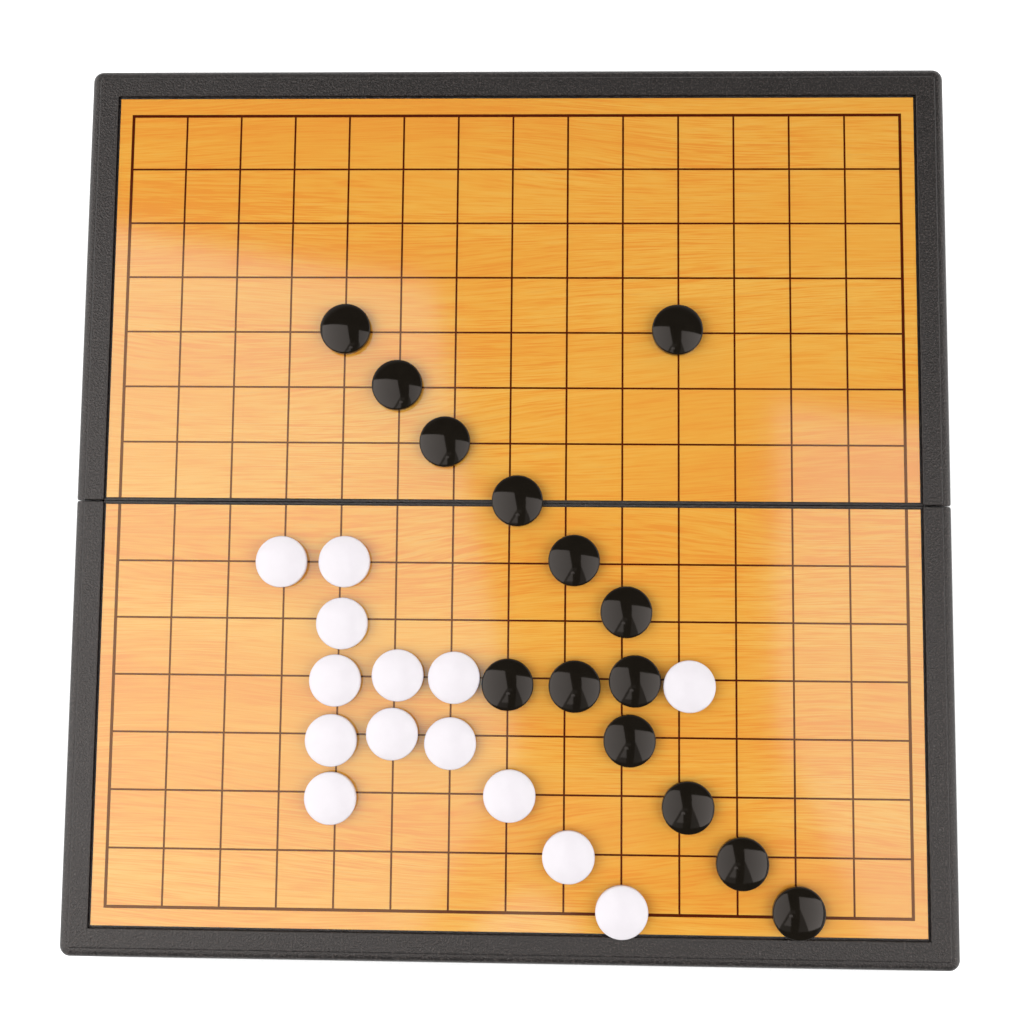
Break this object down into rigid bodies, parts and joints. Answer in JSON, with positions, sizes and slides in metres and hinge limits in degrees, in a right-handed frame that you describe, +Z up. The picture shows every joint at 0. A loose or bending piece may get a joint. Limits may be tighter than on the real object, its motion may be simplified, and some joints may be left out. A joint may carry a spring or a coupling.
{
  "type": "folding go board",
  "caption": "Hinged plastic game board that folds into a storage case, with glossy wood-grain playing faces, a printed grid and loose domed magnetic stones.",
  "frame": {"origin": "centre of the unfolded board's footprint, on the plane that both rims rest on", "axes": "+X along the hinge line to the right, +Y from the front half to the back half, +Z up out of the playing faces"},
  "size_m": [0.2782, 0.2852, 0.0243],
  "materials": {
    "black_abs": "fine moulded texture",
    "wood_film": "gloss sheet with printed wood grain",
    "brown_ink": "printed lines under gloss",
    "steel_sheet": "plain rolled sheet",
    "pin_steel": "drawn wire",
    "black_stone": "polished",
    "white_stone": "polished"
  },
  "bodies": {
    "front_half": {"front_tray": "black_abs", "front_steel_plate": "steel_sheet", "front_playing_film": "wood_film", "front_grid_print": "brown_ink", "hinge_pin_left": "pin_steel", "hinge_pin_right": "pin_steel"},
    "back_half": {"back_tray": "black_abs", "back_steel_plate": "steel_sheet", "back_playing_film": "wood_film", "back_grid_print": "brown_ink"},
    "black_stone_01": {"black_stone_01": "black_stone"},
    "black_stone_02": {"black_stone_02": "black_stone"},
    "black_stone_03": {"black_stone_03": "black_stone"},
    "black_stone_04": {"black_stone_04": "black_stone"},
    "black_stone_05": {"black_stone_05": "black_stone"},
    "black_stone_06": {"black_stone_06": "black_stone"},
    "black_stone_07": {"black_stone_07": "black_stone"},
    "black_stone_08": {"black_stone_08": "black_stone"},
    "black_stone_09": {"black_stone_09": "black_stone"},
    "black_stone_10": {"black_stone_10": "black_stone"},
    "black_stone_11": {"black_stone_11": "black_stone"},
    "black_stone_12": {"black_stone_12": "black_stone"},
    "black_stone_13": {"black_stone_13": "black_stone"},
    "black_stone_14": {"black_stone_14": "black_stone"},
    "white_stone_01": {"white_stone_01": "white_stone"},
    "white_stone_02": {"white_stone_02": "white_stone"},
    "white_stone_03": {"white_stone_03": "white_stone"},
    "white_stone_04": {"white_stone_04": "white_stone"},
    "white_stone_05": {"white_stone_05": "white_stone"},
    "white_stone_06": {"white_stone_06": "white_stone"},
    "white_stone_07": {"white_stone_07": "white_stone"},
    "white_stone_08": {"white_stone_08": "white_stone"},
    "white_stone_09": {"white_stone_09": "white_stone"},
    "white_stone_10": {"white_stone_10": "white_stone"},
    "white_stone_11": {"white_stone_11": "white_stone"},
    "white_stone_12": {"white_stone_12": "white_stone"},
    "white_stone_13": {"white_stone_13": "white_stone"},
    "white_stone_14": {"white_stone_14": "white_stone"}
  },
  "joints": [
    {"name": "board_fold", "type": "hinge", "parent": "front_half", "child": "back_half", "pos_m": [0, 0, 0.002], "axis": [-1, 0, 0], "range_deg": [0, 180]},
    {"name": "lift_black_01", "type": "slide", "parent": "back_half", "child": "black_stone_01", "axis": [0, 0, 1], "range_m": [0, 0.03]},
    {"name": "lift_black_02", "type": "slide", "parent": "back_half", "child": "black_stone_02", "axis": [0, 0, 1], "range_m": [0, 0.03]},
    {"name": "lift_black_03", "type": "slide", "parent": "back_half", "child": "black_stone_03", "axis": [0, 0, 1], "range_m": [0, 0.03]},
    {"name": "lift_black_04", "type": "slide", "parent": "front_half", "child": "black_stone_04", "axis": [0, 0, 1], "range_m": [0, 0.03]},
    {"name": "lift_black_05", "type": "slide", "parent": "front_half", "child": "black_stone_05", "axis": [0, 0, 1], "range_m": [0, 0.03]},
    {"name": "lift_black_06", "type": "slide", "parent": "front_half", "child": "black_stone_06", "axis": [0, 0, 1], "range_m": [0, 0.03]},
    {"name": "lift_black_07", "type": "slide", "parent": "back_half", "child": "black_stone_07", "axis": [0, 0, 1], "range_m": [0, 0.03]},
    {"name": "lift_black_08", "type": "slide", "parent": "front_half", "child": "black_stone_08", "axis": [0, 0, 1], "range_m": [0, 0.03]},
    {"name": "lift_black_09", "type": "slide", "parent": "front_half", "child": "black_stone_09", "axis": [0, 0, 1], "range_m": [0, 0.03]},
    {"name": "lift_black_10", "type": "slide", "parent": "front_half", "child": "black_stone_10", "axis": [0, 0, 1], "range_m": [0, 0.03]},
    {"name": "lift_black_11", "type": "slide", "parent": "front_half", "child": "black_stone_11", "axis": [0, 0, 1], "range_m": [0, 0.03]},
    {"name": "lift_black_12", "type": "slide", "parent": "front_half", "child": "black_stone_12", "axis": [0, 0, 1], "range_m": [0, 0.03]},
    {"name": "lift_black_13", "type": "slide", "parent": "front_half", "child": "black_stone_13", "axis": [0, 0, 1], "range_m": [0, 0.03]},
    {"name": "lift_black_14", "type": "slide", "parent": "front_half", "child": "black_stone_14", "axis": [0, 0, 1], "range_m": [0, 0.03]},
    {"name": "lift_white_01", "type": "slide", "parent": "front_half", "child": "white_stone_01", "axis": [0, 0, 1], "range_m": [0, 0.03]},
    {"name": "lift_white_02", "type": "slide", "parent": "front_half", "child": "white_stone_02", "axis": [0, 0, 1], "range_m": [0, 0.03]},
    {"name": "lift_white_03", "type": "slide", "parent": "front_half", "child": "white_stone_03", "axis": [0, 0, 1], "range_m": [0, 0.03]},
    {"name": "lift_white_04", "type": "slide", "parent": "front_half", "child": "white_stone_04", "axis": [0, 0, 1], "range_m": [0, 0.03]},
    {"name": "lift_white_05", "type": "slide", "parent": "front_half", "child": "white_stone_05", "axis": [0, 0, 1], "range_m": [0, 0.03]},
    {"name": "lift_white_06", "type": "slide", "parent": "front_half", "child": "white_stone_06", "axis": [0, 0, 1], "range_m": [0, 0.03]},
    {"name": "lift_white_07", "type": "slide", "parent": "front_half", "child": "white_stone_07", "axis": [0, 0, 1], "range_m": [0, 0.03]},
    {"name": "lift_white_08", "type": "slide", "parent": "front_half", "child": "white_stone_08", "axis": [0, 0, 1], "range_m": [0, 0.03]},
    {"name": "lift_white_09", "type": "slide", "parent": "front_half", "child": "white_stone_09", "axis": [0, 0, 1], "range_m": [0, 0.03]},
    {"name": "lift_white_10", "type": "slide", "parent": "front_half", "child": "white_stone_10", "axis": [0, 0, 1], "range_m": [0, 0.03]},
    {"name": "lift_white_11", "type": "slide", "parent": "front_half", "child": "white_stone_11", "axis": [0, 0, 1], "range_m": [0, 0.03]},
    {"name": "lift_white_12", "type": "slide", "parent": "front_half", "child": "white_stone_12", "axis": [0, 0, 1], "range_m": [0, 0.03]},
    {"name": "lift_white_13", "type": "slide", "parent": "front_half", "child": "white_stone_13", "axis": [0, 0, 1], "range_m": [0, 0.03]},
    {"name": "lift_white_14", "type": "slide", "parent": "front_half", "child": "white_stone_14", "axis": [0, 0, 1], "range_m": [0, 0.03]}
  ]
}
